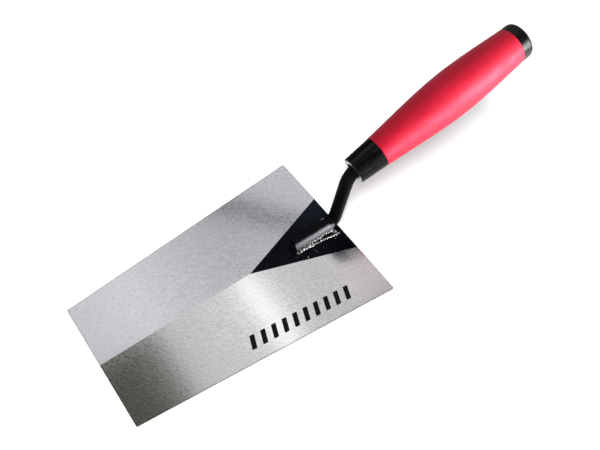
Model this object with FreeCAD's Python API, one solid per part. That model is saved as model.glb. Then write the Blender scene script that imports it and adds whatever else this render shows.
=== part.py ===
import FreeCAD, Part
import os
from math import cos, radians, sin, tan

from FreeCAD import Placement, Rotation, Vector

# Bucket trowel, millimetres.
# The origin is the centre of the blade's flat underside. +X runs from the toe to the heel and on to
# the handle, +Y is the left of the blade with the handle towards the user, +Z is up out of the blade.

# Blade: a taper-ground trapezoid. The heel triangle keeps the full plate thickness.
BLADE_LENGTH = 180.0
TOE_WIDTH = 90.0
HEEL_WIDTH = 125.0
CORNER_RADIUS = 0.8
PLATE_THICKNESS = 2.2
RIDGE_THICKNESS_AT_TOE = 1.6
TRIANGLE_TIP_X = 18.5
TRIANGLE_BASE_WIDTH = 49.0

# Tang: one bent rod, a foot on the blade, a leaning neck and a spike inside the handle.
ROD_RADIUS = 4.5
FOOT_SEAT_DEPTH = 0.7
FOOT_TOE_X = 53.0
NECK_BASE_X = 87.9
NECK_LEAN = 9.5
FOOT_BEND_RADIUS = 8.0
HANDLE_BEND_RADIUS = 13.0
SPIKE_LENGTH = 66.0
SPIKE_TAPER_LENGTH = 26.0
SPIKE_TIP_RADIUS = 2.4

# Weld beads: rows of overlapping drops beside the foot.
DROP_COUNT = 13
RIGHT_BEAD_START = (54.6, -4.6)
RIGHT_BEAD_END = (84.2, -8.2)
LEFT_BEAD_START = (56.5, 4.7)
LEFT_BEAD_END = (84.2, 5.3)
DROP_RADIUS = 1.9
DROP_GROWTH = 0.12
DROP_RIPPLE = 0.05
FILLET_HEIGHT = 1.3

# Handle: every station below is measured along its own axis from the collar's front face.
HANDLE_FRONT = (99.0, 53.2)
HANDLE_TILT = 17.6
COLLAR_LENGTH = 20.0
COLLAR_FRONT_RADIUS = 9.3
GRIP_FRONT_RADIUS = 10.7
GRIP_END = 133.3
GRIP_END_RADIUS = 12.7
BELLY_STATION = 84.0
BELLY_RADIUS = 15.6
FRONT_SHOULDER = (46.0, 13.25)
REAR_SHOULDER = (116.0, 14.0)
HANDLE_LENGTH = 141.2
CAP_RADIUS = 12.6
CAP_EDGE_RADIUS = 2.4
COLLAR_CHAMFER = 0.5

# Inside the handle.
NOSE_RADIUS = 7.2
GRIP_WALL = 3.0
SPIGOT_RADIUS = 7.0
SPIGOT_LENGTH = 5.5
MOUTH_RADIUS = 5.8
MOUTH_DEPTH = 6.0
WASHER_THICKNESS = 1.4
WASHER_RADIUS = 8.3

X_AXIS = Vector(1, 0, 0)
UP = Vector(0, 0, 1)
HEEL_X = BLADE_LENGTH / 2


def in_plane(x, z):
    """Return a point in the trowel's middle plane."""
    return Vector(x, 0, z)


def direction(angle):
    """Return the middle plane's unit vector at an angle in degrees above +X."""
    return Vector(cos(radians(angle)), 0, sin(radians(angle)))


# --- Blade -------------------------------------------------------------------------------------

def blade_outline():
    """Return the trapezoid, its four corners just broken with a small radius."""
    corners = [
        Vector(-HEEL_X, -TOE_WIDTH / 2, 0),
        Vector(HEEL_X, -HEEL_WIDTH / 2, 0),
        Vector(HEEL_X, HEEL_WIDTH / 2, 0),
        Vector(-HEEL_X, TOE_WIDTH / 2, 0),
    ]
    edges = []
    ends = []
    for i, corner in enumerate(corners):
        towards_last = (corners[i - 1] - corner).normalize()
        towards_next = (corners[(i + 1) % 4] - corner).normalize()
        half_angle = towards_last.getAngle(towards_next) / 2
        reach = CORNER_RADIUS / tan(half_angle)
        middle = (towards_last + towards_next).normalize()
        depth = CORNER_RADIUS / sin(half_angle) - CORNER_RADIUS
        start = corner + towards_last * reach
        end = corner + towards_next * reach
        edges.append(Part.Arc(start, corner + middle * depth, end).toShape())
        ends.append((start, end))
    for i in range(4):
        edges.append(Part.LineSegment(ends[i][1], ends[(i + 1) % 4][0]).toShape())
    return Part.Wire(Part.__sortEdges__(edges))


def ground_height(x, y):
    """Return a ground facet's height: a plane through the triangle's edge and the toe's ridge."""
    fall = (PLATE_THICKNESS - RIDGE_THICKNESS_AT_TOE) / (TRIANGLE_TIP_X + HEEL_X)
    side_fall = fall * (HEEL_X - TRIANGLE_TIP_X) / (TRIANGLE_BASE_WIDTH / 2)
    return PLATE_THICKNESS + fall * (x - TRIANGLE_TIP_X) - side_fall * abs(y)


def grinding_cut(side):
    """Return the metal that grinding takes off one side, side being +1 or -1."""
    beyond = 10.0
    slope = (TRIANGLE_BASE_WIDTH / 2) / (HEEL_X - TRIANGLE_TIP_X)
    far_x = HEEL_X + beyond
    plan = [
        (-far_x, 0),
        (TRIANGLE_TIP_X, 0),
        (far_x, side * slope * (far_x - TRIANGLE_TIP_X)),
        (far_x, side * HEEL_WIDTH),
        (-far_x, side * HEEL_WIDTH),
    ]
    points = [Vector(x, y, ground_height(x, y)) for x, y in plan]
    face = Part.Face(Part.makePolygon(points + points[:1]))
    return face.extrude(UP * PLATE_THICKNESS * 2)


def make_blade():
    plate = Part.Face(blade_outline()).extrude(UP * PLATE_THICKNESS)
    return plate.cut([grinding_cut(1), grinding_cut(-1)])


# --- Tang --------------------------------------------------------------------------------------

def foot_height():
    """Return the height of the rod's centre along the foot, with its seat ground flat."""
    return PLATE_THICKNESS + ROD_RADIUS - FOOT_SEAT_DEPTH


def tang_corners():
    """Return the four corners of the rod's centreline, before its bends are rounded."""
    foot = in_plane(FOOT_TOE_X, foot_height())
    base = in_plane(NECK_BASE_X, foot_height())
    front = in_plane(*HANDLE_FRONT)
    neck = direction(90 - NECK_LEAN)
    axis = direction(HANDLE_TILT)
    gap = front - base
    along_neck = (gap.x * axis.z - gap.z * axis.x) / (neck.x * axis.z - neck.z * axis.x)
    return foot, base, base + neck * along_neck, front + axis * SPIKE_LENGTH


def rounded_corner(before, corner, after, radius):
    """Return the arc that rounds a corner, with its two tangent points."""
    back = (before - corner).normalize()
    ahead = (after - corner).normalize()
    half_angle = back.getAngle(ahead) / 2
    reach = radius / tan(half_angle)
    depth = radius / sin(half_angle) - radius
    middle = (back + ahead).normalize()
    start = corner + back * reach
    end = corner + ahead * reach
    return Part.Arc(start, corner + middle * depth, end).toShape(), start, end


def make_tang():
    foot, base, turn, tip = tang_corners()
    low_arc, low_start, low_end = rounded_corner(foot, base, turn, FOOT_BEND_RADIUS)
    high_arc, high_start, high_end = rounded_corner(base, turn, tip, HANDLE_BEND_RADIUS)
    axis = direction(HANDLE_TILT)
    taper_start = tip - axis * SPIKE_TAPER_LENGTH
    path = Part.Wire([
        Part.LineSegment(foot, low_start).toShape(),
        low_arc,
        Part.LineSegment(low_end, high_start).toShape(),
        high_arc,
        Part.LineSegment(high_end, taper_start).toShape(),
    ])
    section = Part.Wire(Part.makeCircle(ROD_RADIUS, foot, X_AXIS))
    rod = path.makePipeShell([section], True, False)
    spike = Part.makeCone(ROD_RADIUS, SPIKE_TIP_RADIUS, SPIKE_TAPER_LENGTH, taper_start, axis)
    seat = Part.makeBox(BLADE_LENGTH, 4 * ROD_RADIUS, PLATE_THICKNESS + ROD_RADIUS)
    seat.translate(Vector(0, -2 * ROD_RADIUS, -ROD_RADIUS))
    return rod.fuse(spike).removeSplitter().cut(seat)


# --- Weld beads --------------------------------------------------------------------------------

def weld_bead(start, end, tang):
    """Return a row of weld drops from start to end, with the fillet that ties it to the foot."""
    drops = []
    for i in range(DROP_COUNT):
        part = i / (DROP_COUNT - 1)
        x = start[0] + part * (end[0] - start[0])
        y = start[1] + part * (end[1] - start[1])
        radius = DROP_RADIUS * (1 + DROP_GROWTH * part + DROP_RIPPLE * (-1) ** i)
        drops.append(Part.makeSphere(radius, Vector(x, y, PLATE_THICKNESS)))
    level = PLATE_THICKNESS
    outline = [
        Vector(start[0], 0, level),
        Vector(start[0], start[1], level),
        Vector(end[0], end[1], level),
        Vector(end[0], 0, level),
    ]
    fillet = Part.Face(Part.makePolygon(outline + outline[:1])).extrude(UP * FILLET_HEIGHT)
    below = Part.makeBox(BLADE_LENGTH, HEEL_WIDTH, 3 * level)
    below.translate(Vector(0, -HEEL_WIDTH / 2, -2 * level))
    middle_strip = Part.makeBox(BLADE_LENGTH, ROD_RADIUS, 3 * level)
    middle_strip.translate(Vector(0, -ROD_RADIUS / 2, 0))
    bead = fillet.multiFuse(drops).removeSplitter()
    return bead.cut([below, middle_strip, tang])


# --- Handle, made upright on its own axis and then placed ---------------------------------------

def turned(outline):
    """Return the solid turned about Z from the edges of a closed outline in the XZ plane."""
    wire = Part.Wire(Part.__sortEdges__(outline))
    return Part.Face(wire).revolve(Vector(0, 0, 0), UP, 360)


def lines(points):
    """Return straight edges through (radius, station) points."""
    vectors = [Vector(r, 0, s) for r, s in points]
    return [Part.LineSegment(a, b).toShape() for a, b in zip(vectors, vectors[1:])]


def grip_curve(inset):
    """Return the spindle curve of the grip, moved inwards by inset."""
    stations = [
        (COLLAR_LENGTH, GRIP_FRONT_RADIUS),
        FRONT_SHOULDER,
        (BELLY_STATION, BELLY_RADIUS),
        REAR_SHOULDER,
        (GRIP_END, GRIP_END_RADIUS),
    ]
    curve = Part.BSplineCurve()
    curve.interpolate([Vector(r - inset, 0, s) for s, r in stations])
    return curve.toShape()


def make_collar():
    body = lines([
        (NOSE_RADIUS, WASHER_THICKNESS),
        (WASHER_RADIUS, WASHER_THICKNESS),
        (WASHER_RADIUS, 0),
        (COLLAR_FRONT_RADIUS - COLLAR_CHAMFER, 0),
        (COLLAR_FRONT_RADIUS, COLLAR_CHAMFER),
        (GRIP_FRONT_RADIUS, COLLAR_LENGTH),
        (NOSE_RADIUS, COLLAR_LENGTH),
        (NOSE_RADIUS, WASHER_THICKNESS),
    ])
    return turned(body)


def make_collar_washer():
    return turned(lines([
        (MOUTH_RADIUS, 0),
        (WASHER_RADIUS, 0),
        (WASHER_RADIUS, WASHER_THICKNESS),
        (MOUTH_RADIUS, WASHER_THICKNESS),
        (MOUTH_RADIUS, 0),
    ]))


def make_handle_core():
    outer = lines([
        (0, WASHER_THICKNESS),
        (NOSE_RADIUS, WASHER_THICKNESS),
        (NOSE_RADIUS, COLLAR_LENGTH),
        (GRIP_FRONT_RADIUS - GRIP_WALL, COLLAR_LENGTH),
    ])
    tail = lines([
        (GRIP_END_RADIUS - GRIP_WALL, GRIP_END),
        (SPIGOT_RADIUS, GRIP_END),
        (SPIGOT_RADIUS, GRIP_END + SPIGOT_LENGTH),
        (0, GRIP_END + SPIGOT_LENGTH),
        (0, WASHER_THICKNESS),
    ])
    core = turned(outer + [grip_curve(GRIP_WALL)] + tail)
    mouth = Part.makeCylinder(MOUTH_RADIUS, MOUTH_DEPTH)
    bore = Part.makeCylinder(ROD_RADIUS, SPIKE_LENGTH - SPIKE_TAPER_LENGTH)
    taper_start = Vector(0, 0, SPIKE_LENGTH - SPIKE_TAPER_LENGTH)
    taper = Part.makeCone(ROD_RADIUS, SPIKE_TIP_RADIUS, SPIKE_TAPER_LENGTH, taper_start)
    return core.cut([mouth, bore, taper])


def make_grip_sleeve():
    front = lines([
        (GRIP_FRONT_RADIUS - GRIP_WALL, COLLAR_LENGTH),
        (GRIP_FRONT_RADIUS, COLLAR_LENGTH),
    ])
    rear = lines([
        (GRIP_END_RADIUS, GRIP_END),
        (GRIP_END_RADIUS - GRIP_WALL, GRIP_END),
    ])
    return turned(front + [grip_curve(0)] + rear + [grip_curve(GRIP_WALL)])


def make_end_cap():
    flat_radius = CAP_RADIUS - CAP_EDGE_RADIUS
    edge_start = HANDLE_LENGTH - CAP_EDGE_RADIUS
    half_way = CAP_EDGE_RADIUS * cos(radians(45))
    rounded = Part.Arc(
        Vector(CAP_RADIUS, 0, edge_start),
        Vector(flat_radius + half_way, 0, edge_start + half_way),
        Vector(flat_radius, 0, HANDLE_LENGTH),
    ).toShape()
    before = lines([
        (0, GRIP_END + SPIGOT_LENGTH),
        (SPIGOT_RADIUS, GRIP_END + SPIGOT_LENGTH),
        (SPIGOT_RADIUS, GRIP_END),
        (GRIP_END_RADIUS, GRIP_END),
        (CAP_RADIUS, edge_start),
    ])
    after = lines([
        (flat_radius, HANDLE_LENGTH),
        (0, HANDLE_LENGTH),
        (0, GRIP_END + SPIGOT_LENGTH),
    ])
    return turned(before + [rounded] + after)


def on_handle(shape):
    """Place a piece that was turned about Z on the handle's tilted axis."""
    tilt = Rotation(Vector(0, 1, 0), 90 - HANDLE_TILT)
    placed = shape.copy()
    placed.Placement = Placement(in_plane(*HANDLE_FRONT), tilt)
    return placed


# --- All the pieces ----------------------------------------------------------------------------

def main():
    tang = make_tang()
    pieces = {
        "blade": make_blade(),
        "tang": tang,
        "weld_bead_right": weld_bead(RIGHT_BEAD_START, RIGHT_BEAD_END, tang),
        "weld_bead_left": weld_bead(LEFT_BEAD_START, LEFT_BEAD_END, tang),
        "collar": on_handle(make_collar()),
        "collar_washer": on_handle(make_collar_washer()),
        "handle_core": on_handle(make_handle_core()),
        "grip_sleeve": on_handle(make_grip_sleeve()),
        "end_cap": on_handle(make_end_cap()),
    }
    os.makedirs("parts", exist_ok=True)
    for name, shape in pieces.items():
        shape.exportStep(f"parts/{name}.step")
        box = shape.BoundBox
        print(f"{name:16s} solids {len(shape.Solids)} valid {shape.isValid()} volume {shape.Volume:9.1f}"
              f"  x {box.XMin:7.2f} {box.XMax:7.2f}  y {box.YMin:7.2f} {box.YMax:7.2f}"
              f"  z {box.ZMin:7.2f} {box.ZMax:7.2f}")


main()
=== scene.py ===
# %% [markdown]
# # A bucket trowel, from its CAD frame to a finished picture
# The tool is a flat steel blade, a bent black rod welded to it, and a round red soft grip
# between two black plastic ends. The CAD frame already holds every part in its place, so
# this lesson adds what a drawing leaves out: ground steel, lacquer, a rough weld, rubber.
# All lengths are in metres, and the frame stands with the blade flat on the ground.

# %% Load the CAD frame
import math

import bpy
import numpy as np
from mathutils import Matrix, Quaternion, Vector


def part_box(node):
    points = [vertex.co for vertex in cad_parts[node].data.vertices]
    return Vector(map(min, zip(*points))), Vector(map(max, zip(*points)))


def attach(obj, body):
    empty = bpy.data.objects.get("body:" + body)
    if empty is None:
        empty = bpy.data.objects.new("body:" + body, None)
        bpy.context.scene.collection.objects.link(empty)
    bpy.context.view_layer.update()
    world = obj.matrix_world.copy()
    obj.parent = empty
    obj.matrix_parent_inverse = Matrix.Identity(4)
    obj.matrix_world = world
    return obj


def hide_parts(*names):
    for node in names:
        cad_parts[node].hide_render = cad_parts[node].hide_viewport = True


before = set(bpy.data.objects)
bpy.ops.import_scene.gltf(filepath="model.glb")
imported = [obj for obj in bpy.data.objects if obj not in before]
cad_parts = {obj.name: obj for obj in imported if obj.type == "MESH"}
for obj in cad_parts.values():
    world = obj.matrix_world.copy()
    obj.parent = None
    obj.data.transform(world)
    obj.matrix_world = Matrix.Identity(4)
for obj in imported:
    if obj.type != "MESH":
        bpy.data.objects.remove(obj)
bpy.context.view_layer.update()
MM = 0.001
print("parts of the tool:", ", ".join(sorted(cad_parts)))

# %% [markdown]
# ## The camera
# A tool lying on a table is seen from above and a little from one side. The camera
# is placed by the point it looks at, the direction it looks from and its distance, because
# those three are easy to think about. A small roll turns the tool in the frame.

# %% Place the camera
VIEW_AZIMUTH = math.radians(-40.19)
VIEW_ELEVATION = math.radians(56.51)
VIEW_ROLL = math.radians(4.49)
VIEW_DISTANCE = 457.35 * MM
VIEW_TARGET = Vector((69.39, 13.37, 0)) * MM
FOCAL_LENGTH = 39.377  # in mm, on a sensor of the width below
SENSOR_WIDTH = 36.0


def from_angles(azimuth, elevation):
    """Returns the unit vector that points from the tool to the camera."""
    level = math.cos(elevation)
    return Vector((math.sin(azimuth) * level, -math.cos(azimuth) * level, math.sin(elevation)))


camera = bpy.data.objects.new("camera", bpy.data.cameras.new("camera"))
bpy.context.scene.collection.objects.link(camera)
camera.data.lens = FOCAL_LENGTH
camera.data.sensor_width = SENSOR_WIDTH
camera.data.clip_start = 10 * MM
to_camera = from_angles(VIEW_AZIMUTH, VIEW_ELEVATION)
camera.location = VIEW_TARGET + to_camera * VIEW_DISTANCE
camera.rotation_mode = "QUATERNION"
roll = Quaternion((0, 0, 1), VIEW_ROLL)
camera.rotation_quaternion = (-to_camera).to_track_quat("-Z", "Y") @ roll
bpy.context.scene.camera = camera
print("camera at", [round(c / MM) for c in camera.location], "mm")

# %% [markdown]
# ## Small helpers for node trees
# A finish in Blender is a tree of nodes. It could be drawn by hand in the editor, but a few
# helpers make it as short to write as a formula: one adds any node and joins its sockets,
# four do sums, one blends two colours, and one maps a range of numbers to another. They
# serve for Geometry Nodes too, because both kinds of tree are built the same way.


# %% Helpers for every node tree
def feed(tree, socket, value):
    """Joins a socket to another socket, or sets its own value."""
    if isinstance(value, bpy.types.NodeSocket):
        tree.links.new(value, socket)
    else:
        socket.default_value = value


def add(tree, kind, settings=None, **sockets):
    """Adds a node. Settings are its properties; sockets are fed by name."""
    node = tree.nodes.new(kind)
    for name, value in (settings or {}).items():
        setattr(node, name, value)
    for name, value in sockets.items():
        feed(tree, node.inputs[name.replace("_", " ")], value)
    return node


def calc(tree, operation, *values):
    """Any sum on numbers, such as MINIMUM or POWER."""
    node = tree.nodes.new("ShaderNodeMath")
    node.operation = operation
    for socket, value in zip(node.inputs, values):
        feed(tree, socket, value)
    return node.outputs[0]


def plus(tree, first, second):
    """The sum of two numbers."""
    return calc(tree, "ADD", first, second)


def minus(tree, first, second):
    """The first number less the second."""
    return calc(tree, "SUBTRACT", first, second)


def times(tree, first, second):
    """The product of two numbers."""
    return calc(tree, "MULTIPLY", first, second)


# %% Helpers that blend colours and map ranges
def blend(tree, share, first, second):
    """Goes from the first colour to the second as share goes from 0 to 1."""
    node = tree.nodes.new("ShaderNodeMix")
    node.data_type = "RGBA"
    feed(tree, node.inputs["Factor"], share)
    for socket, colour in ((node.inputs[6], first), (node.inputs[7], second)):
        feed(tree, socket, colour if isinstance(colour, bpy.types.NodeSocket) else (*colour, 1))
    return node.outputs[2]


def spread(tree, value, low, high, to_low=0.0, to_high=1.0):
    """Maps low..high to another range, and stops at its ends."""
    node = add(tree, "ShaderNodeMapRange", Value=value, From_Min=low, From_Max=high,
               To_Min=to_low, To_Max=to_high)
    return node.outputs["Result"]


print("helpers ready")

# %% [markdown]
# ## Helpers for finishes
# Every finish starts from the Object coordinates of its piece, which are metres in the CAD
# frame, so a grain of half a millimetre is half a millimetre on every part. Turning and
# stretching those coordinates before the noise gives streaks, scratches and grooves.


# %% Start a finish, and make its grain
def new_finish(name, **sockets):
    """Returns the material, its tree, its shader and its Object coordinates."""
    material = bpy.data.materials.new(name)
    material.use_nodes = True
    tree = material.node_tree
    shader = tree.nodes["Principled BSDF"]
    for socket, value in sockets.items():
        shader.inputs[socket.replace("_", " ")].default_value = value
    place = add(tree, "ShaderNodeTexCoord").outputs["Object"]
    return material, tree, shader, place


def grain(tree, place, size, detail=2.0, turn=(0, 0, 0), stretch=(1, 1, 1), shift=0.0):
    """Noise whose features are about size metres across, longer along a stretched axis."""
    turned = add(tree, "ShaderNodeMapping", Vector=place, Rotation=turn,
                 Location=(shift, shift, shift))
    fineness = [1 / (size * s) for s in stretch]
    scaled = add(tree, "ShaderNodeMapping", Vector=turned.outputs[0], Scale=fineness)
    noise = add(tree, "ShaderNodeTexNoise", Vector=scaled.outputs[0], Scale=1.0, Detail=detail)
    return noise.outputs["Fac"]


def relief(tree, height, depth, under=None, strength=1.0):
    """A bump of that depth in metres; under is a bump already made."""
    node = add(tree, "ShaderNodeBump", Height=height, Distance=depth, Strength=strength)
    if under:
        tree.links.new(under, node.inputs["Normal"])
    return node.outputs["Normal"]


def paint(node_name, material):
    """Gives a CAD node its finish, in the slot that it already has."""
    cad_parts[node_name].data.materials[0] = material


print("finish helpers ready")

# %% [markdown]
# ## The blade: ground steel and a lacquered triangle
# The plate is lacquered black first. Then its two wide facets are ground thin towards the
# toe, which takes the lacquer off and leaves a black triangle at the heel. Two materials on
# two sets of faces would do, but the CAD mesh has no edge to part them cleanly. One material
# can hold both, because the edge of the triangle follows a plain rule: its half width grows
# in line with the distance from its tip.

# %% Where the lacquer is
blade_low, blade_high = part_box("blade")
TOE_HALF_WIDTH = 45.0 * MM
TRIANGLE_TIP = 18.5 * MM
TRIANGLE_HALF_BASE = 24.5 * MM
TRIANGLE_SLOPE = TRIANGLE_HALF_BASE / (blade_high.x - TRIANGLE_TIP)

steel, tree, shader, place = new_finish("ground_steel_and_lacquer", Specular_IOR_Level=0.05)
axes = add(tree, "ShaderNodeSeparateXYZ", Vector=place).outputs
ragged = times(tree, minus(tree, grain(tree, place, 1.6 * MM), 0.5), 0.25 * MM)
half_width = times(tree, minus(tree, axes["X"], TRIANGLE_TIP), TRIANGLE_SLOPE)
from_edge = minus(tree, half_width, calc(tree, "ABSOLUTE", axes["Y"]))
inside = plus(tree, from_edge, ragged)
on_top = spread(tree, axes["Z"], 0.25 * MM, 0.35 * MM)
lacquered = times(tree, spread(tree, inside, -0.06 * MM, 0.06 * MM), on_top)
print("triangle tip to heel:", round((blade_high.x - TRIANGLE_TIP) / MM, 1), "mm")

# %% [markdown]
# ## The grain of ground steel
# A belt grinder leaves a soft mottle, fine grooves across the blade and a few stray
# scratches. Each is a noise of its own size and direction. The blade is also darker in a
# thin band along its edges, so the distance to the nearest edge is worked out too, and
# roughened by noise.

# %% Mottle, grooves, scratches and dust
MOTTLE_ANGLE, GROOVE_ANGLE, SCRATCH_ANGLE = (math.radians(a) for a in (38, 4, -34))
mottle = grain(tree, place, 1.15 * MM, 3.0, turn=(0, 0, MOTTLE_ANGLE), stretch=(1.9, 1, 1))
cloud = grain(tree, place, 14 * MM, 2.0)
grooves = grain(tree, place, 0.3 * MM, 2.0, turn=(0, 0, GROOVE_ANGLE), stretch=(1, 26, 1))
scratches = grain(
    tree, place, 0.5 * MM, 1.0, turn=(0, 0, SCRATCH_ANGLE), stretch=(60, 1, 1), shift=0.3)
scratched = spread(tree, scratches, 0.70, 0.76)
dust = spread(tree, grain(tree, place, 0.7 * MM, 0.0, shift=0.1), 0.80, 0.86)
print("blade finish has", len(tree.nodes), "nodes so far")

# %% Bare steel, calmer at the toe and darker in a thin band along its edges
calm_toe = spread(tree, axes["X"], -88 * MM, -45 * MM, 0.55, 1.0)
mottled = times(tree, minus(tree, spread(tree, mottle, 0.3, 0.7), 0.5), calm_toe)
bare = blend(tree, plus(tree, mottled, 0.5), (0.555, 0.555, 0.575), (0.745, 0.745, 0.76))
bare = blend(tree, times(tree, cloud, 0.25), bare, (0.58, 0.575, 0.60))
bare = blend(tree, times(tree, scratched, 0.5), bare, (0.86, 0.86, 0.87))
half_blade = spread(tree, axes["X"], blade_low.x, blade_high.x, TOE_HALF_WIDTH, blade_high.y)
to_side = minus(tree, half_blade, calc(tree, "ABSOLUTE", axes["Y"]))
to_end = minus(tree, blade_high.x, calc(tree, "ABSOLUTE", axes["X"]))
# The steel is made darker in a thin band along every edge, its border ragged by noise.
rim_raggedness = times(tree, grain(tree, place, 2.5 * MM, 4.0, shift=0.6), 1.3 * MM)
to_rim = minus(tree, calc(tree, "MINIMUM", to_side, to_end), rim_raggedness)
at_rim = spread(tree, to_rim, -0.45 * MM, 0.05 * MM, 1.0, 0.0)
bare = blend(tree, times(tree, at_rim, 0.6), bare, (0.27, 0.25, 0.235))
print("blade finish has", len(tree.nodes), "nodes so far")

# %% Black lacquer with a painted bluish-grey reflection at the far heel, and a little dust
black = blend(tree, cloud, (0.0006, 0.0010, 0.0024), (0.0022, 0.0028, 0.0050))
# Painted reflection: the lacquer is made bluish grey on the far side of the heel.
painted_heel_reflection = times(tree, spread(tree, axes["Y"], 2 * MM, 22 * MM),
                 spread(tree, axes["X"], 52 * MM, 84 * MM))
black = blend(tree, painted_heel_reflection, black, (0.006, 0.0085, 0.0130))
black = blend(tree, times(tree, dust, 0.35), black, (0.10, 0.11, 0.12))
feed(tree, shader.inputs["Base Color"], blend(tree, lacquered, bare, black))
ground = minus(tree, 1.0, lacquered)
feed(tree, shader.inputs["Metallic"], ground)
print("blade finish has", len(tree.nodes), "nodes so far")

# %% How rough each is, and the relief of the grinding
scuffed = plus(tree, mottle, times(tree, scratched, 0.5))
steel_rough = spread(tree, scuffed, 0.25, 0.8, 0.085, 0.15)
worn_heel = times(tree, spread(tree, axes["X"], 60 * MM, 82 * MM),
                  spread(tree, axes["Y"], -16 * MM, -6 * MM, 0.07, 0.0))
steel_rough = plus(tree, steel_rough, worn_heel)
lacquer_rough = spread(tree, cloud, 0.3, 0.7, 0.16, 0.26)
rough = add(tree, "ShaderNodeMix", Factor=lacquered)
feed(tree, rough.inputs[2], steel_rough)
feed(tree, rough.inputs[3], lacquer_rough)
feed(tree, shader.inputs["Roughness"], rough.outputs[0])
fine = relief(tree, times(tree, grooves, ground), 0.004 * MM)
feed(tree, shader.inputs["Normal"], relief(tree, times(tree, mottle, ground), 0.012 * MM, fine))
paint("blade", steel)
print("blade finish has", len(tree.nodes), "nodes")

# %% [markdown]
# ## The tang: black paint, burnt off beside the weld
# The rod is painted satin black, but the heat of the weld strips the paint from both flanks
# of its foot and leaves bare brushed steel there. A painted mask image could show it, but
# a rule on the place is enough: the bare steel starts a little way down from the top of
# the rod, and runs from the foot's end to the bend. Noise makes its border ragged.

# %% Where the paint is burnt off
FOOT_CENTRE_HEIGHT = 6.0 * MM
NEAR_PAINT_EDGE = FOOT_CENTRE_HEIGHT + 3.85 * MM
FAR_PAINT_EDGE = FOOT_CENTRE_HEIGHT + 0.6 * MM
BARE_START, BARE_END = 53.0 * MM, 85.6 * MM

tang_paint, tree, shader, place = new_finish("tang_paint", Specular_IOR_Level=0.06)
axes = add(tree, "ShaderNodeSeparateXYZ", Vector=place).outputs
wobble = times(tree, minus(tree, grain(tree, place, 1.4 * MM, 3.0), 0.5), 1.0 * MM)
bare_from = spread(tree, axes["Y"], -0.4 * MM, 0.4 * MM, NEAR_PAINT_EDGE, FAR_PAINT_EDGE)
drop = plus(tree, minus(tree, bare_from, axes["Z"]), wobble)
below_top = spread(tree, drop, -0.2 * MM, 1.0 * MM)
to_bend = plus(tree, minus(tree, BARE_END, axes["X"]), wobble)
from_toe = plus(tree, minus(tree, axes["X"], BARE_START), wobble)
before_bend = spread(tree, to_bend, 0, 0.5 * MM)
after_toe = spread(tree, from_toe, 0, 0.5 * MM)
stripped = times(tree, times(tree, below_top, before_bend), after_toe)
print("bare flank is", round((BARE_END - BARE_START) / MM, 1), "mm long")

# %% Satin paint and brushed steel
brushed = grain(tree, place, 0.35 * MM, 2.0, stretch=(14, 1, 1))
skin = grain(tree, place, 0.9 * MM, 3.0)
hairlines = spread(tree, brushed, 0.35, 0.65)
bright = blend(tree, hairlines, (0.075, 0.075, 0.082), (0.165, 0.165, 0.175))
# The bare steel is made darker towards the toe of the foot.
darker_at_foot_toe = spread(tree, axes["X"], 54 * MM, 80 * MM, 0.45, 0.0)
bright = blend(tree, darker_at_foot_toe, bright, (0.03, 0.03, 0.034))
dark = blend(tree, skin, (0.0008, 0.0008, 0.0012), (0.0025, 0.0025, 0.0035))
feed(tree, shader.inputs["Base Color"], blend(tree, stripped, dark, bright))
feed(tree, shader.inputs["Metallic"], times(tree, stripped, 0.35))
satin = spread(tree, skin, 0.3, 0.7, 0.28, 0.42)
feed(tree, shader.inputs["Roughness"], plus(tree, satin, times(tree, stripped, 0.22)))
fine = relief(tree, times(tree, brushed, stripped), 0.03 * MM)
feed(tree, shader.inputs["Normal"], relief(tree, skin, 0.03 * MM, fine))
paint("tang", tang_paint)
print("tang finish has", len(tree.nodes), "nodes")

# %% [markdown]
# ## Plastic, washer and core
# The collar and the end cap are moulded in glossy black plastic. The mould leaves faint
# flow lines along the handle, which break up a reflection, so the noise is turned to the
# tilt of the handle and stretched along it. The cap's rear face has rubbed dull, so the
# roughness rises past a station on the handle's axis. The washer in the collar's mouth is
# turned steel with fine rings. The core under the grip is the same plastic, hardly seen.
# One function serves all three plastics, because only their numbers differ.

# %% The axis of the handle
HANDLE_FRONT = Vector((99.0, 0, 53.2)) * MM
HANDLE_TILT = math.radians(17.6)
handle_direction = Vector((math.cos(HANDLE_TILT), 0, math.sin(HANDLE_TILT)))
TURN_TO_HANDLE = (0, HANDLE_TILT, 0)
DULL_FROM, DULL_TO = 138.8 * MM, 140.8 * MM
REAR_DULLNESS = 0.38
print("handle points along", [round(c, 3) for c in handle_direction])


# %% Black plastic
def moulded_plastic(name, deep, pale, smooth, rough, flow):
    """Black plastic with flow lines along the handle, a fine skin and a duller rear end."""
    material, tree, shader, place = new_finish(name, Specular_IOR_Level=0.19)
    lines = grain(tree, place, 0.8 * MM, 2.0, turn=TURN_TO_HANDLE, stretch=(30, 1, 1))
    skin = grain(tree, place, 0.5 * MM, 3.0)
    rubbed = grain(
        tree, place, 2.2 * MM, 4.0, turn=TURN_TO_HANDLE, stretch=(4, 1, 1), shift=0.2)
    scuffs = spread(tree, rubbed, 0.56, 0.72)
    feed(tree, shader.inputs["Base Color"], blend(tree, scuffs, deep, pale))
    worn = plus(tree, times(tree, lines, 0.5), times(tree, scuffs, 0.5))
    station = add(tree, "ShaderNodeVectorMath", {"operation": "DOT_PRODUCT"})
    feed(tree, station.inputs[0], place)
    feed(tree, station.inputs[1], handle_direction)
    front = HANDLE_FRONT.dot(handle_direction)
    dulled = spread(
        tree, station.outputs["Value"], front + DULL_FROM, front + DULL_TO, 0.0, REAR_DULLNESS)
    polish = spread(tree, worn, 0.15, 0.75, smooth, rough)
    feed(tree, shader.inputs["Roughness"], plus(tree, dulled, polish))
    fine = relief(tree, lines, flow)
    feed(tree, shader.inputs["Normal"], relief(tree, skin, 0.008 * MM, fine))
    return material


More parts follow.
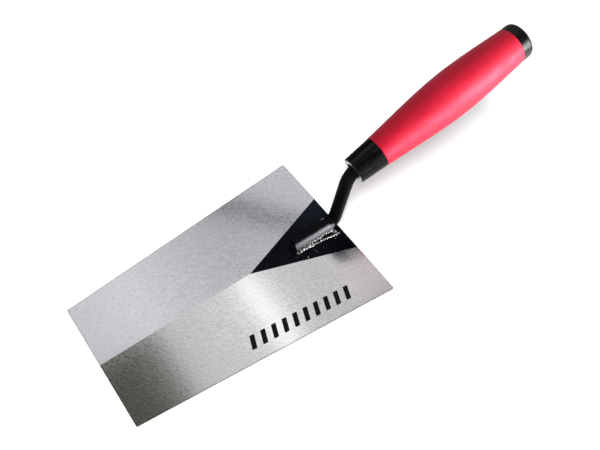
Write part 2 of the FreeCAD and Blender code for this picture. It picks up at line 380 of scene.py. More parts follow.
PLASTICS = {
    "collar": ("collar_plastic", (0.001, 0.001, 0.0015), (0.004, 0.004, 0.005),
               0.18, 0.32, 0.05 * MM),
    "end_cap": ("cap_plastic", (0.002, 0.0015, 0.002), (0.006, 0.006, 0.007),
                0.26, 0.42, 0.03 * MM),
    "handle_core": ("core_plastic", (0.025, 0.025, 0.027), (0.04, 0.04, 0.042),
                    0.55, 0.75, 0.04 * MM),
}
for node_name, numbers in PLASTICS.items():
    paint(node_name, moulded_plastic(*numbers))
print("handle tilts up by", round(math.degrees(HANDLE_TILT), 1), "degrees")

# %% Turned steel for the washer
RING_SPACING = 0.35 * MM
washer_steel, tree, shader, place = new_finish("turned_washer_steel", Metallic=1.0)
axis_place = add(
    tree, "ShaderNodeMapping", {"vector_type": "TEXTURE"}, Vector=place,
    Location=HANDLE_FRONT, Rotation=(0, -HANDLE_TILT, 0)).outputs[0]
axes = add(tree, "ShaderNodeSeparateXYZ", Vector=axis_place).outputs
squares = [calc(tree, "POWER", axes[axis], 2.0) for axis in ("Y", "Z")]
radius = calc(tree, "SQRT", plus(tree, *squares))
rings = calc(tree, "SINE", times(tree, radius, 2 * math.pi / RING_SPACING))
tarnish = grain(tree, place, 1.2 * MM, 3.0)
plated = blend(tree, tarnish, (0.62, 0.62, 0.63), (0.82, 0.82, 0.83))
feed(tree, shader.inputs["Base Color"], plated)
feed(tree, shader.inputs["Roughness"], spread(tree, tarnish, 0.3, 0.7, 0.25, 0.42))
feed(tree, shader.inputs["Normal"], relief(tree, rings, 0.004 * MM))
paint("collar_washer", washer_steel)
print("washer finish has", len(tree.nodes), "nodes")

# %% [markdown]
# ## How Geometry Nodes are used here
# Four pieces repeat a shape or follow a rule: the grip, the weld, its spatter and the row
# of printed bars. Each gets its own Geometry Nodes tree with named inputs. A helper puts
# the tree on a host mesh, sets the inputs, takes the result as a plain mesh, and throws
# the host away, so the finished piece carries no modifier.


# %% Helpers for Geometry Nodes
def new_growth(name, inputs):
    """Starts a tree from inputs of (name, kind, value); returns it, its input and its output."""
    growth = bpy.data.node_groups.new(name, "GeometryNodeTree")
    growth.is_modifier = True
    new_socket = growth.interface.new_socket
    for way in ("OUTPUT", "INPUT"):
        new_socket(name="Geometry", in_out=way, socket_type="NodeSocketGeometry")
    for label, kind, value in inputs:
        socket = new_socket(name=label, in_out="INPUT", socket_type="NodeSocket" + kind)
        if value is not None:
            socket.default_value = value
    given = growth.nodes.new("NodeGroupInput").outputs
    return growth, given, growth.nodes.new("NodeGroupOutput").inputs[0]


def end_growth(growth, shape, finish, out):
    """The last nodes of every tree: real geometry and one finish."""
    real = add(growth, "GeometryNodeRealizeInstances", Geometry=shape).outputs[0]
    done = add(growth, "GeometryNodeSetMaterial", Geometry=real, Material=finish)
    growth.links.new(done.outputs[0], out)


def grow(name, growth, host_mesh, values):
    """Runs the tree on the host mesh and returns an object with the plain result."""
    host = bpy.data.objects.new(name + "_host", host_mesh)
    bpy.context.scene.collection.objects.link(host)
    modifier = host.modifiers.new("growth", "NODES")
    modifier.node_group = growth
    sockets = {s.name: s.identifier for s in growth.interface.items_tree if s.in_out == "INPUT"}
    for label, value in values.items():
        modifier[sockets[label]] = value
    evaluated = host.evaluated_get(bpy.context.evaluated_depsgraph_get())
    mesh = bpy.data.meshes.new_from_object(evaluated)
    bpy.data.objects.remove(host)
    piece = bpy.data.objects.new(name, mesh)
    mesh.name = name
    bpy.context.scene.collection.objects.link(piece)
    print(name, "has", len(mesh.polygons), "faces")
    return piece


def path_mesh(name, rows, sizes=None):
    """A host mesh of open rows of points; sizes gives each point a drop size."""
    points = [point for row in rows for point in row]
    edges, start = [], 0
    for row in rows:
        edges += [(start + i, start + i + 1) for i in range(len(row) - 1)]
        start += len(row)
    mesh = bpy.data.meshes.new(name)
    mesh.from_pydata(points, edges, [])
    if sizes:
        mesh.attributes.new("drop_size", "FLOAT", "POINT").data.foreach_set("value", sizes)
    return mesh


print("growth helpers ready")

# %% [markdown]
# ## The soft grip
# The grip is a spindle of red rubber, moulded over the core: narrow at the collar, fullest
# in the palm, narrower again at the cap. A turned shape follows one rule, its radius along
# the axis. Spinning an outline would do, but a circle swept along a straight line,
# with a curve for its size, keeps every number open to change. The curve is measured from
# the CAD sleeve, so the two agree. A small dimple is pressed in near the cap, where the
# mould's gate was, and then the skin is given its wall.


# %% Measure the sleeve's radius along its axis
def spindle_radius(node_name, stations):
    """Returns the outer radius of a CAD node on the handle's axis at each station."""
    corners = [v.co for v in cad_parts[node_name].data.vertices]
    points = np.array(corners) - np.array(HANDLE_FRONT)
    along = points @ np.array(handle_direction)
    across = np.linalg.norm(points - np.outer(along, handle_direction), axis=1)
    return [float(across[np.abs(along - s) < 0.6 * MM].max()) for s in stations]


GRIP_FRONT, GRIP_REAR = 20.0 * MM, 133.3 * MM
STATIONS = np.linspace(GRIP_FRONT + 0.1 * MM, GRIP_REAR - 0.1 * MM, 20)
grip_radii = spindle_radius("grip_sleeve", STATIONS)
belly_radius = max(grip_radii)
print("grip radii in mm:", [round(r / MM, 2) for r in grip_radii])


# %% A wall for any open skin
def thicken(growth, skin, thickness, inwards):
    """Gives a skin a wall: a copy is pushed along the normals, and the two are sewn together."""
    push = times(growth, thickness, -1.0 if inwards else 1.0)
    pushed = add(growth, "GeometryNodeExtrudeMesh", Mesh=skin, Offset_Scale=push,
                 Individual=False).outputs[0]
    turned = add(growth, "GeometryNodeFlipFaces", Mesh=pushed if inwards else skin).outputs[0]
    both = growth.nodes.new("GeometryNodeJoinGeometry")
    growth.links.new(turned, both.inputs[0])
    growth.links.new(skin if inwards else pushed, both.inputs[0])
    sewn = add(growth, "GeometryNodeMergeByDistance", Geometry=both.outputs[0], Distance=0.001 * MM)
    return sewn.outputs[0]


# %% The tree that turns the grip
grip_tree, given, out = new_growth("turned_grip", [
    ("Front", "Vector", None), ("Rear", "Vector", None), ("Belly radius", "Float", None),
    ("Rings", "Int", 200), ("Sides", "Int", 150), ("Wall", "Float", None),
    ("Edge softening", "Float", None), ("Gate", "Vector", None), ("Gate radius", "Float", None),
    ("Gate depth", "Float", None), ("Finish", "Material", None),
])
line = add(
    grip_tree, "GeometryNodeCurvePrimitiveLine", Start=given["Front"], End=given["Rear"]).outputs[0]
rings = add(grip_tree, "GeometryNodeResampleCurve", Curve=line, Count=given["Rings"]).outputs[0]
share = add(grip_tree, "GeometryNodeSplineParameter").outputs["Factor"]
rule = add(grip_tree, "ShaderNodeFloatCurve", Value=share)
curve = rule.mapping.curves[0]
for x, radius in zip(np.linspace(0, 1, len(grip_radii))[1:-1], grip_radii[1:-1]):
    curve.points.new(float(x), radius / belly_radius)
curve.points[0].location = (0, grip_radii[0] / belly_radius)
curve.points[-1].location = (1, grip_radii[-1] / belly_radius)
rule.mapping.update()
full = times(grip_tree, rule.outputs[0], given["Belly radius"])
to_end = calc(grip_tree, "MINIMUM", share, minus(grip_tree, 1.0, share))
at_end = spread(grip_tree, to_end, 0, 0.004, 1, 0)
radius = minus(grip_tree, full, times(grip_tree, at_end, given["Edge softening"]))
circle = add(
    grip_tree, "GeometryNodeCurvePrimitiveCircle", Resolution=given["Sides"], Radius=1.0).outputs[0]
skin = add(grip_tree, "GeometryNodeCurveToMesh", Curve=rings, Profile_Curve=circle,
           Scale=radius).outputs[0]
print("grip tree has", len(grip_tree.nodes), "nodes so far")

# %% The gate dimple, and the wall
where = add(grip_tree, "GeometryNodeInputPosition").outputs[0]
outwards = add(grip_tree, "GeometryNodeInputNormal").outputs[0]
gap = add(grip_tree, "ShaderNodeVectorMath", {"operation": "DISTANCE"})
grip_tree.links.new(where, gap.inputs[0])
grip_tree.links.new(given["Gate"], gap.inputs[1])
near = minus(grip_tree, 1.0, calc(grip_tree, "DIVIDE", gap.outputs["Value"], given["Gate radius"]))
flat_floor = calc(grip_tree, "SMOOTH_MIN", calc(grip_tree, "MAXIMUM", near, 0.0), 0.55, 0.2)
press = times(grip_tree, flat_floor, given["Gate depth"])
inward = add(
    grip_tree, "ShaderNodeVectorMath", {"operation": "SCALE"}, Scale=times(grip_tree, press, -1.0))
grip_tree.links.new(outwards, inward.inputs[0])
dimpled = add(grip_tree, "GeometryNodeSetPosition", Geometry=skin, Offset=inward.outputs[0])
walled = thicken(grip_tree, dimpled.outputs[0], given["Wall"], inwards=True)
end_growth(grip_tree, walled, given["Finish"], out)
print("grip tree has", len(grip_tree.nodes), "nodes")

# %% [markdown]
# ## The red rubber
# Soft grips are moulded in a rubbery plastic. It is satin, not glossy, and a little dusty:
# light that grazes it comes back pale and pinkish. A clear coat would be too wet for that,
# so a little sheen and a pink tint on the gloss give it. A fine orange peel and faint flow
# marks along the handle keep it from looking painted.

# %% Red rubber
rubber, tree, shader, place = new_finish(
    "red_rubber", Specular_IOR_Level=0.37, Specular_Tint=(1.0, 0.60, 0.90, 1.0),
    Sheen_Weight=0.08, Sheen_Roughness=0.45, Sheen_Tint=(1.0, 0.50, 0.78, 1.0))
peel = grain(tree, place, 0.7 * MM, 3.0)
flow = grain(tree, place, 5 * MM, 3.0, turn=TURN_TO_HANDLE, stretch=(5, 1, 1))
blotch = grain(tree, place, 9 * MM, 2.0, shift=0.4)
lint = spread(tree, grain(tree, place, 0.9 * MM, 0.0, shift=0.7), 0.80, 0.86)
red = blend(tree, spread(tree, flow, 0.3, 0.7), (0.245, 0.0014, 0.007), (0.295, 0.002, 0.011))
red = blend(tree, times(tree, blotch, 0.22), red, (0.32, 0.005, 0.022))
red = blend(tree, times(tree, lint, 0.12), red, (0.8, 0.35, 0.4))
feed(tree, shader.inputs["Base Color"], red)
chafed = plus(tree, peel, blotch)
feed(tree, shader.inputs["Roughness"], spread(tree, chafed, 0.7, 1.3, 0.48, 0.64))
feed(tree, shader.inputs["Normal"], relief(tree, peel, 0.07 * MM, relief(tree, flow, 0.14 * MM)))
print("rubber finish has", len(tree.nodes), "nodes")


# %% Grow the grip
def finish_piece(piece, stands_for=(), sharp=math.radians(40)):
    """Smooths the faces, keeps real edges sharp, and hands the piece to the frame."""
    piece.data.shade_smooth()
    piece.data.set_sharp_from_angle(angle=sharp)
    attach(piece, "root")
    if stands_for:
        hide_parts(*stands_for)


def on_handle(station):
    """Returns the point of the handle's axis at that distance from its front."""
    return HANDLE_FRONT + handle_direction * station


GATE = Vector((217.8, -12.4, 95.8)) * MM
no_path = bpy.data.meshes.new("no_path")
grip = grow("soft_grip", grip_tree, no_path, {
    "Front": on_handle(GRIP_FRONT), "Rear": on_handle(GRIP_REAR), "Belly radius": belly_radius,
    "Rings": 210, "Sides": 160, "Wall": 3.0 * MM, "Edge softening": 0.22 * MM,
    "Gate": GATE, "Gate radius": 1.5 * MM, "Gate depth": 0.9 * MM, "Finish": rubber,
})
finish_piece(grip, ["grip_sleeve"])

# %% [markdown]
# ## The weld
# The rod's foot is joined to the plate by two hand-laid beads. A bead is a row of melted
# drops that ran into each other. A sculpted strip would be stiff, so drops of uneven size
# are set along a path, fused into one skin through a volume, and the skin is roughened. The
# path is the host mesh, and each of its points carries the size of the drop laid there.

# %% Set uneven drops along the path
weld_tree, given, out = new_growth("laid_bead", [
    ("Spacing", "Float", None), ("Unevenness", "Float", 0.4), ("Flatness", "Float", 0.7),
    ("Ripple height", "Float", None), ("Ripple size", "Float", None), ("Cell", "Float", None),
    ("Seed", "Int", 1), ("Finish", "Material", None),
])
source = weld_tree.nodes["Group Input"].outputs["Geometry"]
path = add(weld_tree, "GeometryNodeMeshToCurve", Mesh=source).outputs[0]
laid = add(weld_tree, "GeometryNodeResampleCurve", {"mode": "LENGTH"}, Curve=path,
           Length=given["Spacing"]).outputs[0]
size = add(weld_tree, "GeometryNodeInputNamedAttribute", {"data_type": "FLOAT"},
           Name="drop_size").outputs["Attribute"]
chance = add(weld_tree, "FunctionNodeRandomValue", {"data_type": "FLOAT_VECTOR"},
             Seed=given["Seed"])
chance.inputs[0].default_value = (-1, -1, -1)
reach = times(weld_tree, size, times(weld_tree, given["Unevenness"], 0.6))
jitter = add(weld_tree, "ShaderNodeVectorMath", {"operation": "SCALE"}, Scale=reach)
weld_tree.links.new(chance.outputs[0], jitter.inputs[0])
shaken = add(weld_tree, "GeometryNodeSetPosition", Geometry=laid, Offset=jitter.outputs[0])
print("bead tree has", len(weld_tree.nodes), "nodes so far")

# %% Swell each drop by chance, and fuse them all
luck = add(weld_tree, "FunctionNodeRandomValue", {"data_type": "FLOAT"}, Seed=given["Seed"])
off_middle = minus(weld_tree, luck.outputs[1], 0.5)
swell = plus(weld_tree, 1.0, times(weld_tree, off_middle, given["Unevenness"]))
wide = times(weld_tree, size, swell)
tall = times(weld_tree, wide, given["Flatness"])
scale = add(weld_tree, "ShaderNodeCombineXYZ", X=wide, Y=wide, Z=tall).outputs[0]
drop = add(weld_tree, "GeometryNodeMeshIcoSphere", Radius=1.0, Subdivisions=3).outputs[0]
drops = add(weld_tree, "GeometryNodeInstanceOnPoints", Points=shaken.outputs[0], Instance=drop,
            Scale=scale).outputs[0]
solid = add(weld_tree, "GeometryNodeRealizeInstances", Geometry=drops).outputs[0]
melt = add(weld_tree, "GeometryNodeMeshToVolume", {"resolution_mode": "VOXEL_SIZE"}, Mesh=solid,
           Voxel_Size=given["Cell"], Interior_Band_Width=1.0 * MM)
fused = add(weld_tree, "GeometryNodeVolumeToMesh", {"resolution_mode": "GRID"},
            Volume=melt.outputs[0], Threshold=0.1).outputs[0]
print("bead tree has", len(weld_tree.nodes), "nodes so far")

# %% Roughen the fused skin
place = add(weld_tree, "GeometryNodeInputPosition").outputs[0]
fineness = calc(weld_tree, "DIVIDE", 1.0, given["Ripple size"])
finer = add(weld_tree, "ShaderNodeVectorMath", {"operation": "SCALE"}, Scale=fineness)
weld_tree.links.new(place, finer.inputs[0])
ripple = add(weld_tree, "ShaderNodeTexNoise", Vector=finer.outputs[0], Scale=1.0, Detail=3.0)
full_height = times(weld_tree, given["Ripple height"], 2.0)
lift = times(weld_tree, minus(weld_tree, ripple.outputs["Fac"], 0.5), full_height)
rough = add(weld_tree, "ShaderNodeVectorMath", {"operation": "SCALE"}, Scale=lift)
weld_tree.links.new(add(weld_tree, "GeometryNodeInputNormal").outputs[0], rough.inputs[0])
rippled = add(weld_tree, "GeometryNodeSetPosition", Geometry=fused, Offset=rough.outputs[0])
end_growth(weld_tree, rippled.outputs[0], given["Finish"], out)
print("bead tree has", len(weld_tree.nodes), "nodes")

# %% [markdown]
# ## Weld metal
# As-welded steel is bright on the tops of its drops and sooty in the hollows between them.
# A plain mirror steel would look like chrome, so noise at two sizes gives the soot and the
# small pits, and the roughness follows it. The spatter shares this finish.

# %% Bright drops with soot in the hollows
weld_steel, tree, shader, place = new_finish("weld_steel", Metallic=1.0)
lumps = grain(tree, place, 1.1 * MM, 3.0)
pits = grain(tree, place, 0.35 * MM, 2.0, shift=0.2)
uneven = plus(tree, times(tree, lumps, 0.7), times(tree, pits, 0.3))
bare_metal = blend(tree, spread(tree, uneven, 0.42, 0.56), (0.03, 0.03, 0.032), (0.46, 0.46, 0.46))
feed(tree, shader.inputs["Base Color"], bare_metal)
feed(tree, shader.inputs["Roughness"], spread(tree, lumps, 0.3, 0.7, 0.55, 0.34))
feed(tree, shader.inputs["Normal"], relief(tree, pits, 0.10 * MM, relief(tree, lumps, 0.12 * MM)))
print("weld finish has", len(tree.nodes), "nodes")

# %% Lay both beads
RIGHT_ROWS = [
    [(53.4, -5.6, 2.7, 1.0), (60, -6.0, 2.8, 1.15), (67, -6.3, 2.7, 0.95),
     (76, -7.0, 2.7, 0.95), (86, -8.4, 2.7, 1.05)],
    [(56, -3.8, 3.1, 1.2), (66, -3.9, 3.2, 1.2), (84, -3.9, 3.2, 1.2)],
    [(54.6, -4.4, 2.9, 1.3), (58, -5.0, 2.9, 1.4), (62, -5.2, 2.9, 1.4), (65, -5.2, 2.8, 1.2)],
    [(82.5, -5.0, 3.0, 1.3), (85, -6.6, 2.8, 1.3), (83.6, -9.0, 2.6, 0.9)],
]
LEFT_ROWS = [
    [(56, 4.1, 2.8, 1.1), (68, 4.3, 2.8, 1.15), (84, 4.4, 2.9, 1.2)],
    [(80, 5.6, 2.7, 0.9), (84.8, 6.6, 2.7, 1.0)],
]


def lay_bead(side, rows, seed):
    """Lays one bead from rows of (x, y, z, drop size) in mm."""
    places = [[tuple(c * MM for c in point[:3]) for point in row] for row in rows]
    sizes = [point[3] * MM for row in rows for point in row]
    bead = grow("bead_" + side, weld_tree, path_mesh("path_" + side, places, sizes), {
        "Spacing": 1.15 * MM, "Unevenness": 0.55, "Flatness": 0.85, "Ripple height": 0.22 * MM,
        "Ripple size": 0.8 * MM, "Cell": 0.17 * MM, "Seed": seed, "Finish": weld_steel,
    })
    finish_piece(bead, ["weld_bead_" + side], sharp=math.pi)


lay_bead("right", RIGHT_ROWS, 4)
lay_bead("left", LEFT_ROWS, 9)

# %% [markdown]
# ## Spatter
# Welding throws small beads of metal that freeze on the plate around the joint. Points are
# scattered over a patch of the lacquered triangle with a fixed seed, and each gets a tiny
# ball of its own size, sunk a little into the plate.

# %% The tree that scatters drops
spatter_tree, given, out = new_growth("scattered_spatter", [
    ("Density", "Float", None), ("Smallest", "Float", None), ("Largest", "Float", None),
    ("Seed", "Int", 1), ("Finish", "Material", None),
])
target = spatter_tree.nodes["Group Input"].outputs["Geometry"]
specks = add(spatter_tree, "GeometryNodeDistributePointsOnFaces", Mesh=target,
             Density=given["Density"], Seed=given["Seed"]).outputs[0]
luck = add(spatter_tree, "FunctionNodeRandomValue", {"data_type": "FLOAT"}, Seed=given["Seed"])
small = calc(spatter_tree, "POWER", luck.outputs[1], 2.5)
size_range = minus(spatter_tree, given["Largest"], given["Smallest"])
ball_size = plus(spatter_tree, given["Smallest"], times(spatter_tree, small, size_range))
ball = add(spatter_tree, "GeometryNodeMeshIcoSphere", Radius=1.0, Subdivisions=2).outputs[0]
balls = add(spatter_tree, "GeometryNodeInstanceOnPoints", Points=specks, Instance=ball,
            Scale=ball_size).outputs[0]
end_growth(spatter_tree, balls, given["Finish"], out)
print("spatter tree has", len(spatter_tree.nodes), "nodes")

# %% Scatter the spatter on both sides of the foot
PLATE_TOP = 2.2 * MM
NEAR_PATCH = [(46, -3.5), (56, -12.3), (88, -15), (88, -11), (57, -8)]
FAR_PATCH = [(46, 3.5), (57, 6.3), (88, 8.2), (88, 12), (56, 9)]
patches = bpy.data.meshes.new("spatter_patch")
patch_corners = [(x * MM, y * MM, PLATE_TOP) for x, y in NEAR_PATCH + FAR_PATCH]
patches.from_pydata(patch_corners, [], [range(5), range(9, 4, -1)])
spatter = grow("weld_spatter", spatter_tree, patches, {
    "Density": 1.1e5, "Smallest": 0.08 * MM, "Largest": 0.34 * MM, "Seed": 3, "Finish": weld_steel,
})
finish_piece(spatter, sharp=math.pi)

# %% [markdown]
# ## The printed bars
# Blades carry a printed mark along one edge. A plain row of slanted bars stands for it
# here. It could be a mask in the blade's finish, but ink has an edge, so it is geometry. The
# bars repeat along a line, so one bar is drawn, its corners rounded, given the thickness of
# a coat of ink, and set at each point of a row that lies on the ground facet.

# %% The tree that prints a row of bars
bar_tree, given, out = new_growth("printed_row", [
    ("Bars", "Int", 9), ("Start", "Vector", None), ("Step", "Vector", None),
    ("Turn", "Vector", None), ("Width", "Float", None), ("Height", "Float", None),
    ("Slant", "Float", None), ("Corner", "Float", None), ("Ink thickness", "Float", None),
    ("Finish", "Material", None),
])
row = add(bar_tree, "GeometryNodeMeshLine", Count=given["Bars"], Start_Location=given["Start"],
          Offset=given["Step"]).outputs[0]
outline = add(
    bar_tree, "GeometryNodeCurvePrimitiveQuadrilateral", {"mode": "PARALLELOGRAM"},
    Width=given["Width"], Height=given["Height"], Offset=given["Slant"]).outputs[0]
rounded = add(bar_tree, "GeometryNodeFilletCurve", {"mode": "POLY"}, Curve=outline, Count=5,
              Radius=given["Corner"], Limit_Radius=True).outputs[0]
face = add(bar_tree, "GeometryNodeFillCurve", {"mode": "NGONS"}, Curve=rounded).outputs[0]
bar = thicken(bar_tree, face, given["Ink thickness"], inwards=False)
bars = add(bar_tree, "GeometryNodeInstanceOnPoints", Points=row, Instance=bar,
           Rotation=given["Turn"]).outputs[0]
end_growth(bar_tree, bars, given["Finish"], out)
print("bar tree has", len(bar_tree.nodes), "nodes")

# %% Matt black ink, a little thin in places
ink, tree, shader, place = new_finish("printed_ink", Specular_IOR_Level=0.08)
speckle = grain(tree, place, 0.25 * MM, 2.0)
thin = spread(tree, grain(tree, place, 1.2 * MM, 3.0, shift=0.5), 0.64, 0.72)
black = blend(tree, speckle, (0.0012, 0.0012, 0.0016), (0.004, 0.004, 0.005))
worn_black = blend(tree, times(tree, thin, 0.35), black, (0.16, 0.16, 0.17))
feed(tree, shader.inputs["Base Color"], worn_black)
feed(tree, shader.inputs["Roughness"], spread(tree, speckle, 0.3, 0.7, 0.5, 0.7))
feed(tree, shader.inputs["Normal"], relief(tree, speckle, 0.01 * MM))
print("ink finish has", len(tree.nodes), "nodes")

# %% Set the row on the ground facet
FACET_RISE, FACET_FALL = 0.00553, 0.01614
ROW_START, ROW_END = Vector((-6.5, -40.6)), Vector((62.5, -47.3))
BAR_COUNT = 10


def on_right_facet(x, y):
    """Returns the point of the right-hand ground facet over (x, y), given in mm."""
    height = PLATE_TOP / MM + FACET_RISE * (x - TRIANGLE_TIP / MM) + FACET_FALL * y
    return Vector((x, y, height)) * MM


first, last = on_right_facet(*ROW_START), on_right_facet(*ROW_END)
step = (last - first) / (BAR_COUNT - 1)
facet_up = Vector((-FACET_RISE, -FACET_FALL, 1)).normalized()
across = facet_up.cross(step.normalized())
turn = Matrix((step.normalized(), across, facet_up)).transposed().to_euler()
printed = grow("printed_bars", bar_tree, no_path, {
    "Bars": BAR_COUNT, "Start": first, "Step": step, "Turn": turn,
    "Width": 3.4 * MM, "Height": 9.3 * MM, "Slant": 2.6 * MM, "Corner": 0.5 * MM,
    "Ink thickness": 0.03 * MM, "Finish": ink,
})
finish_piece(printed)

# %% [markdown]
# ## Floor, backdrop and room
# The tool lies on a plain pale floor that meets a white backdrop. A floor could be curved up
# at the back, but walls that only the camera sees are simpler, because they can't shade the
# tool. What black gloss shows is the room, so the world is a small studio: a bright window
# on the near side, a dim rear wall, and a dark corner that keeps the far flank of the handle
# black. The floor is left out of reflections for the same reason, and the world is pale
# straight below, so that the washer still has something to reflect.


# %% One stage piece
def stage_mesh(name, corners, material, faces=None):
    """Makes one stage piece from its corners in metres: one face, or the faces given."""
    mesh = bpy.data.meshes.new(name)
    mesh.from_pydata(corners, [], faces or [range(len(corners))])
    mesh.materials.append(material)
    piece = bpy.data.objects.new(name, mesh)
    bpy.context.scene.collection.objects.link(piece)
    return piece


def seen_only_by(piece, ray):
    """Hides a stage piece from every kind of ray but one."""
    for kind in ("camera", "diffuse", "glossy", "shadow"):
        setattr(piece, "visible_" + kind, kind == ray)


print("stage helpers ready")

# %% Pale floor
WHITE, NO_LIGHT = (1, 1, 1, 1), (0, 0, 0, 1)
FLOOR_REACH = 6.0
FLOOR_GAP = 0.05 * MM
SQUARE = [(-1, -1), (1, -1), (1, 1), (-1, 1)]
paper, tree, shader, place = new_finish(
    "pale_paper", Specular_IOR_Level=0.0, Emission_Color=WHITE, Emission_Strength=0.2)
fibre = grain(tree, place, 2 * MM, 3.0)
pale = blend(tree, fibre, (0.86, 0.86, 0.86), (0.90, 0.90, 0.90))
feed(tree, shader.inputs["Base Color"], pale)
feed(tree, shader.inputs["Roughness"], spread(tree, fibre, 0.3, 0.7, 0.8, 0.95))
floor_corners = [(x * FLOOR_REACH, y * FLOOR_REACH, 0) for x, y in SQUARE]
floor = stage_mesh("floor", floor_corners, paper)
floor.location.z = -FLOOR_GAP
floor.visible_glossy = False
print("floor reaches", FLOOR_REACH, "m each way")

# %% White backdrop
WALL_FOOT, WALL_HEIGHT = -0.1, 3.0
white_wall, tree, shader, place = new_finish(
    "backdrop_paper", Base_Color=NO_LIGHT, Specular_IOR_Level=0.0,
    Emission_Color=WHITE, Emission_Strength=1.0)
wall_corners = [
    (x * FLOOR_REACH, y * FLOOR_REACH, z) for z in (WALL_FOOT, WALL_HEIGHT) for x, y in SQUARE]
wall_faces = [(i, i + 4, (i + 1) % 4 + 4, (i + 1) % 4) for i in range(4)]
backdrop = stage_mesh("backdrop", wall_corners, white_wall, wall_faces)
seen_only_by(backdrop, "camera")
print("backdrop is", WALL_HEIGHT, "m high")


# %% Grey levels along a value
def levels(tree, value, steps):
    """Grey levels along a value from 0 to 1; each step is (value, level), in rising order."""
    ramp = add(tree, "ShaderNodeValToRGB", Fac=value)
    stops = ramp.color_ramp.elements
    stops.remove(stops[1])
    stops[0].position = steps[0][0]
    for place, level in steps[1:]:
        stops.new(place)
    for stop, (place, level) in zip(stops, steps):
        stop.color = (level, level, level, 1)
    return ramp.outputs[0]


# %% The room that gloss reflects
world = bpy.data.worlds.new("studio")
bpy.context.scene.world = world
world.use_nodes = True
sky = world.node_tree
direction = add(sky, "ShaderNodeTexCoord").outputs["Generated"]
look = add(sky, "ShaderNodeSeparateXYZ", Vector=direction).outputs
window_side = levels(sky, look["Z"], [(0.34, 0.90), (0.66, 0.15), (0.93, 0.05), (0.985, 0.40)])
rear_wall = levels(sky, look["Z"], [(0.05, 0.50), (0.50, 0.40), (0.90, 0.20), (0.985, 0.40)])
dark_corner = levels(sky, look["Z"], [(0.02, 0.10), (0.50, 0.07), (0.93, 0.05), (0.985, 0.40)])
into_corner = spread(sky, look["X"], -0.35, 0.0)
out_of_corner = spread(sky, look["X"], 0.30, 0.60, 1.0, 0.0)
in_corner = calc(sky, "MINIMUM", into_corner, out_of_corner)
far_walls = blend(sky, in_corner, rear_wall, dark_corner)
room = blend(sky, spread(sky, look["Y"], -0.25, 0.25), window_side, far_walls)
straight_down = spread(sky, look["Z"], -0.82, -0.72, 1.0, 0.0)
room = blend(sky, straight_down, room, (0.9, 0.9, 0.9))
feed(sky, sky.nodes["Background"].inputs["Color"], room)
print("world has", len(sky.nodes), "nodes")

# %% [markdown]
# ## The lamps
# Three lights do three jobs. The key is far away and wide, like a window: it lights the
# floor evenly and throws the handle's soft shadow. The streak is an area lamp low on the
# near side, which draws the pale line along collar and cap. The grip glow is a long strip
# lower still, which makes the rubber's near flank pink. A studio would use black cards to
# keep the last two off the floor and the blade, and light linking does the same here.


# %% An area lamp aimed at the tool
def soft_lamp(name, towards, distance, width, height, watts):
    """An area lamp that points at the middle of the tool."""
    lamp = bpy.data.lights.new(name, "AREA")
    lamp.shape = "RECTANGLE"
    lamp.size, lamp.size_y, lamp.energy = width, height, watts
    holder = bpy.data.objects.new(name, lamp)
    bpy.context.scene.collection.objects.link(holder)
    holder.location = VIEW_TARGET + towards.normalized() * distance
    holder.rotation_mode = "QUATERNION"
    holder.rotation_quaternion = (-towards).to_track_quat("-Z", "Y")
    holder.visible_camera = False
    return holder


# %% The key
KEY_FROM = Vector((-0.41, -0.364, 1.0))
KEY_STRENGTH, KEY_WIDTH = 3.3, 0.36
key = bpy.data.objects.new("key", bpy.data.lights.new("key", "SUN"))
bpy.context.scene.collection.objects.link(key)
key.data.energy, key.data.angle = KEY_STRENGTH, KEY_WIDTH
key.rotation_mode = "QUATERNION"
key.rotation_quaternion = (-KEY_FROM).to_track_quat("-Z", "Y")
key.visible_glossy = False
print("key comes from", [round(c, 2) for c in KEY_FROM.normalized()])

# %% The streak, kept off the floor and the blade
streak = soft_lamp("streak", Vector((0.545, -0.839, 0.287)), 1.1, 0.50, 0.50, 26)
kept_dark = bpy.data.collections.new("kept_out_of_the_streak")
for receiver in (floor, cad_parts["blade"]):
    kept_dark.objects.link(receiver)
streak.light_linking.receiver_collection = kept_dark
for member in kept_dark.collection_objects:
    member.light_linking.link_state = "EXCLUDE"
print("streak at", [round(c, 2) for c in streak.location], "m")

# %% The glow on the grip alone
grip_glow = soft_lamp("grip_glow", Vector((0.30, -0.94, 0.16)), 0.9, 0.90, 0.22, 12)
only_the_grip = bpy.data.collections.new("only_the_grip")
only_the_grip.objects.link(grip)
grip_glow.light_linking.receiver_collection = only_the_grip
print("grip glow at", [round(c, 2) for c in grip_glow.location], "m")

# %% [markdown]
# ## The panels that steel reflects
# Ground steel has hardly a colour of its own: what it shows is what hangs over it. So one
# panel overhead is there only to be reflected. Its two halves answer to the two facets of
# the blade, each with its own light and dark along X, and the thin shade of a lamp's boom
# crosses it. A low card beside the tool does the same for the under side of the handle.

# %% Brightness and tint along the panel
glow = bpy.data.materials.new("panel_glow")
glow.use_nodes = True
tree = glow.node_tree
tree.nodes.clear()
place = add(tree, "ShaderNodeTexCoord").outputs["Object"]
axes = add(tree, "ShaderNodeSeparateXYZ", Vector=place).outputs


def light_along(steps):
    """Brightness of the panel along X; each step is (x in mm, level)."""
    low, high = steps[0][0], steps[-1][0]
    share = spread(tree, axes["X"], low * MM, high * MM)
    return levels(tree, share, [((x - low) / (high - low), level) for x, level in steps])


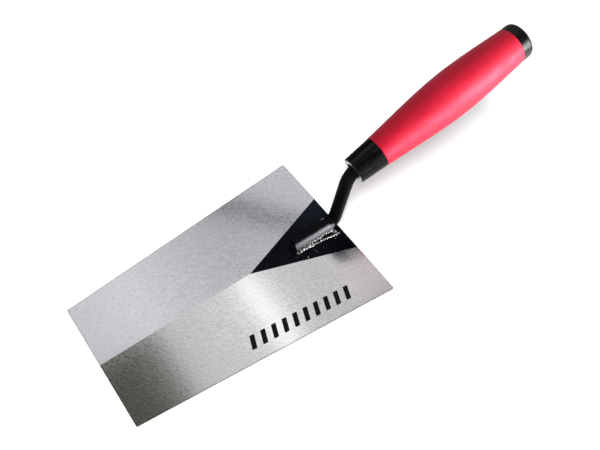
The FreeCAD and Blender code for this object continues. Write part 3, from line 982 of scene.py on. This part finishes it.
near_side = light_along([
    (-80, 0.10), (-40, 0.12), (6, 0.25), (30, 0.78), (60, 0.84), (120, 0.91), (172, 0.99),
    (190, 1.20), (208, 1.90), (224, 1.60), (246, 1.00), (266, 0.86), (317, 0.83), (350, 0.76),
    (388, 0.93), (440, 0.99)])
far_side = light_along([(-90, 0.86), (20, 1.0), (90, 0.88), (170, 0.74), (240, 0.66), (400, 0.80)])
past_middle = spread(tree, axes["Y"], 330 * MM, 376 * MM)
pattern = blend(tree, past_middle, near_side, far_side)
to_heel = spread(tree, axes["X"], 360 * MM, 420 * MM)
along_near = blend(tree, to_heel, (1.0, 0.985, 0.965), (1.0, 0.905, 0.90))
from_toe = spread(tree, axes["X"], -60 * MM, 40 * MM)
along_near = blend(tree, from_toe, (1.0, 1.0, 0.82), along_near)
tint = blend(tree, past_middle, along_near, (0.99, 0.99, 1.012))
tinted = add(tree, "ShaderNodeMix", {"data_type": "RGBA", "blend_type": "MULTIPLY"}, Factor=1.0)
feed(tree, tinted.inputs[6], pattern)
feed(tree, tinted.inputs[7], tint)
print("panel finish has", len(tree.nodes), "nodes so far")

# %% The shade of the boom
BOOM_POINT = Vector((355, 499)) * MM
BOOM_ACROSS = Vector((0.804, 0.594))
BOOM_SHADE = 0.06
off_boom = plus(
    tree, times(tree, minus(tree, axes["X"], BOOM_POINT.x), BOOM_ACROSS.x),
    times(tree, minus(tree, axes["Y"], BOOM_POINT.y), BOOM_ACROSS.y))
shade_before = spread(tree, off_boom, -60 * MM, -6 * MM, 1.0, BOOM_SHADE)
shade_after = spread(tree, off_boom, 0, 5 * MM, BOOM_SHADE, 1.0)
clear_of_boom = calc(tree, "MAXIMUM", shade_before, shade_after)
emit = add(tree, "ShaderNodeEmission", Color=tinted.outputs[2], Strength=clear_of_boom)
tree.links.new(emit.outputs[0], add(tree, "ShaderNodeOutputMaterial").inputs[0])
print("panel finish has", len(tree.nodes), "nodes")

# %% Hang the panel
PANEL_HEIGHT = 760  # in mm, as its outline is
PANEL_OUTLINE = [(-120, 353), (-500, 353), (-500, 950), (800, 950), (800, 120), (-120, 120)]
panel_corners = [Vector((x, y, PANEL_HEIGHT)) * MM for x, y in PANEL_OUTLINE]
panel = stage_mesh("overhead_panel", panel_corners, glow)
seen_only_by(panel, "glossy")
print("panel hangs at", PANEL_HEIGHT, "mm")

# %% Lay the low card
CARD_HEIGHT = 0.5  # in mm, as its outline is
CARD_OUTLINE = [(240, -50), (170, -520), (750, -520), (750, -50)]
card_glow, tree, shader, place = new_finish(
    "low_card_glow", Base_Color=NO_LIGHT, Specular_IOR_Level=0.0, Emission_Color=WHITE)
along = add(tree, "ShaderNodeSeparateXYZ", Vector=place).outputs["X"]
brighter_outwards = spread(tree, along, 170 * MM, 360 * MM, 1.4, 2.8)
feed(tree, shader.inputs["Emission Strength"], brighter_outwards)
card_corners = [Vector((x, y, CARD_HEIGHT)) * MM for x, y in CARD_OUTLINE]
low_card = stage_mesh("low_card", card_corners, card_glow)
seen_only_by(low_card, "glossy")
bpy.context.scene.view_settings.view_transform = "Standard"
print("low card lies", CARD_HEIGHT, "mm over the ground")
